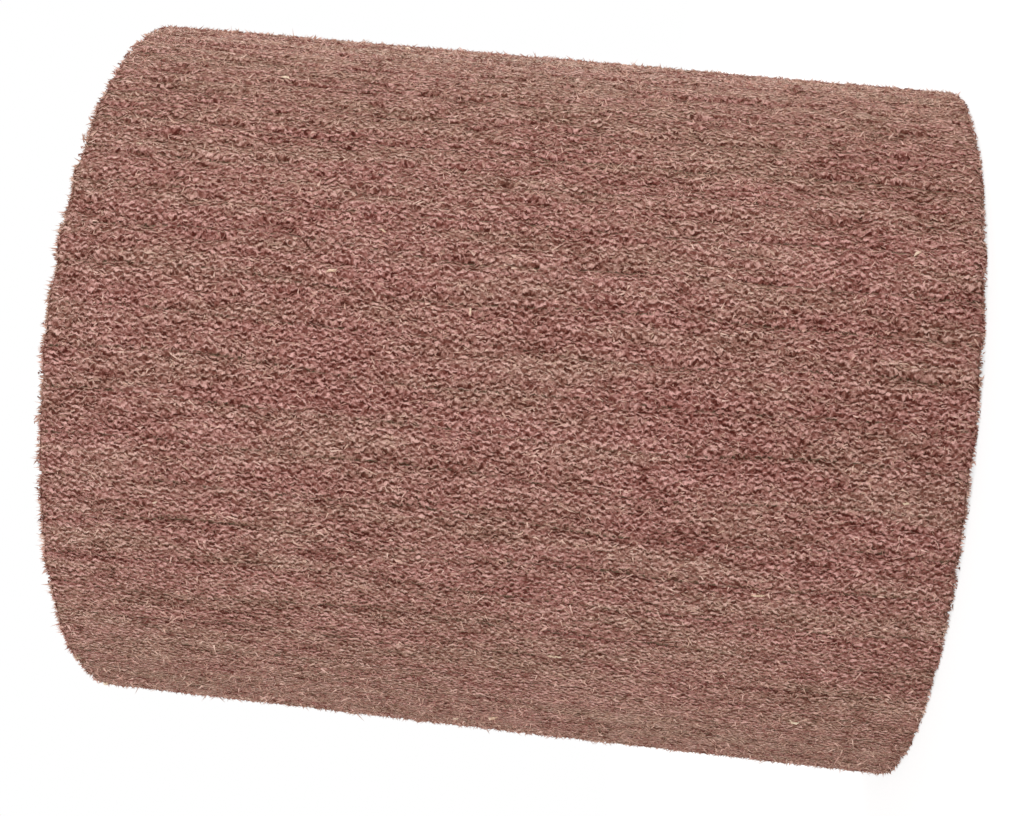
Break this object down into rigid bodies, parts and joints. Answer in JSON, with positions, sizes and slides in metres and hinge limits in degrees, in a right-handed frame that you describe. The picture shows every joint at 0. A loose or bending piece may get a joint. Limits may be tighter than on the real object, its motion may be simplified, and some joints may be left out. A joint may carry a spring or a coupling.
{
  "type": "non-woven abrasive drum",
  "caption": "Short drum of radial non-woven abrasive flaps bonded round a hard core tube with a keyed arbor bore, for satin finishing of metal.",
  "frame": {"origin": "centre of the lower end, where the drum's axis meets the surface it stands on", "axes": "+Z along the drum's axis, up from the end it stands on; keyways open towards +X and +Y"},
  "size_m": [0.1, 0.1, 0.115],
  "materials": {
    "abrasive_web": "open springy web of crinkled fibres with abrasive grain, matt",
    "hard_core": "hard moulded tube, dull with faint tool marks on its sawn ends"
  },
  "bodies": {
    "root": {"core_tube": "hard_core", "flap_01": "abrasive_web", "flap_02": "abrasive_web", "flap_03": "abrasive_web", "flap_04": "abrasive_web", "flap_05": "abrasive_web", "flap_06": "abrasive_web", "flap_07": "abrasive_web", "flap_08": "abrasive_web", "flap_09": "abrasive_web", "flap_10": "abrasive_web", "flap_11": "abrasive_web", "flap_12": "abrasive_web", "flap_13": "abrasive_web", "flap_14": "abrasive_web", "flap_15": "abrasive_web", "flap_16": "abrasive_web", "flap_17": "abrasive_web", "flap_18": "abrasive_web", "flap_19": "abrasive_web", "flap_20": "abrasive_web", "flap_21": "abrasive_web", "flap_22": "abrasive_web", "flap_23": "abrasive_web", "flap_24": "abrasive_web", "flap_25": "abrasive_web", "flap_26": "abrasive_web", "flap_27": "abrasive_web", "flap_28": "abrasive_web", "flap_29": "abrasive_web", "flap_30": "abrasive_web", "flap_31": "abrasive_web", "flap_32": "abrasive_web", "flap_33": "abrasive_web", "flap_34": "abrasive_web", "flap_35": "abrasive_web", "flap_36": "abrasive_web", "flap_37": "abrasive_web", "flap_38": "abrasive_web", "flap_39": "abrasive_web", "flap_40": "abrasive_web", "flap_41": "abrasive_web", "flap_42": "abrasive_web", "flap_43": "abrasive_web", "flap_44": "abrasive_web", "flap_45": "abrasive_web", "flap_46": "abrasive_web", "flap_47": "abrasive_web", "flap_48": "abrasive_web", "flap_49": "abrasive_web", "flap_50": "abrasive_web", "flap_51": "abrasive_web", "flap_52": "abrasive_web", "flap_53": "abrasive_web", "flap_54": "abrasive_web", "flap_55": "abrasive_web", "flap_56": "abrasive_web", "flap_57": "abrasive_web", "flap_58": "abrasive_web"}
  },
  "joints": []
}
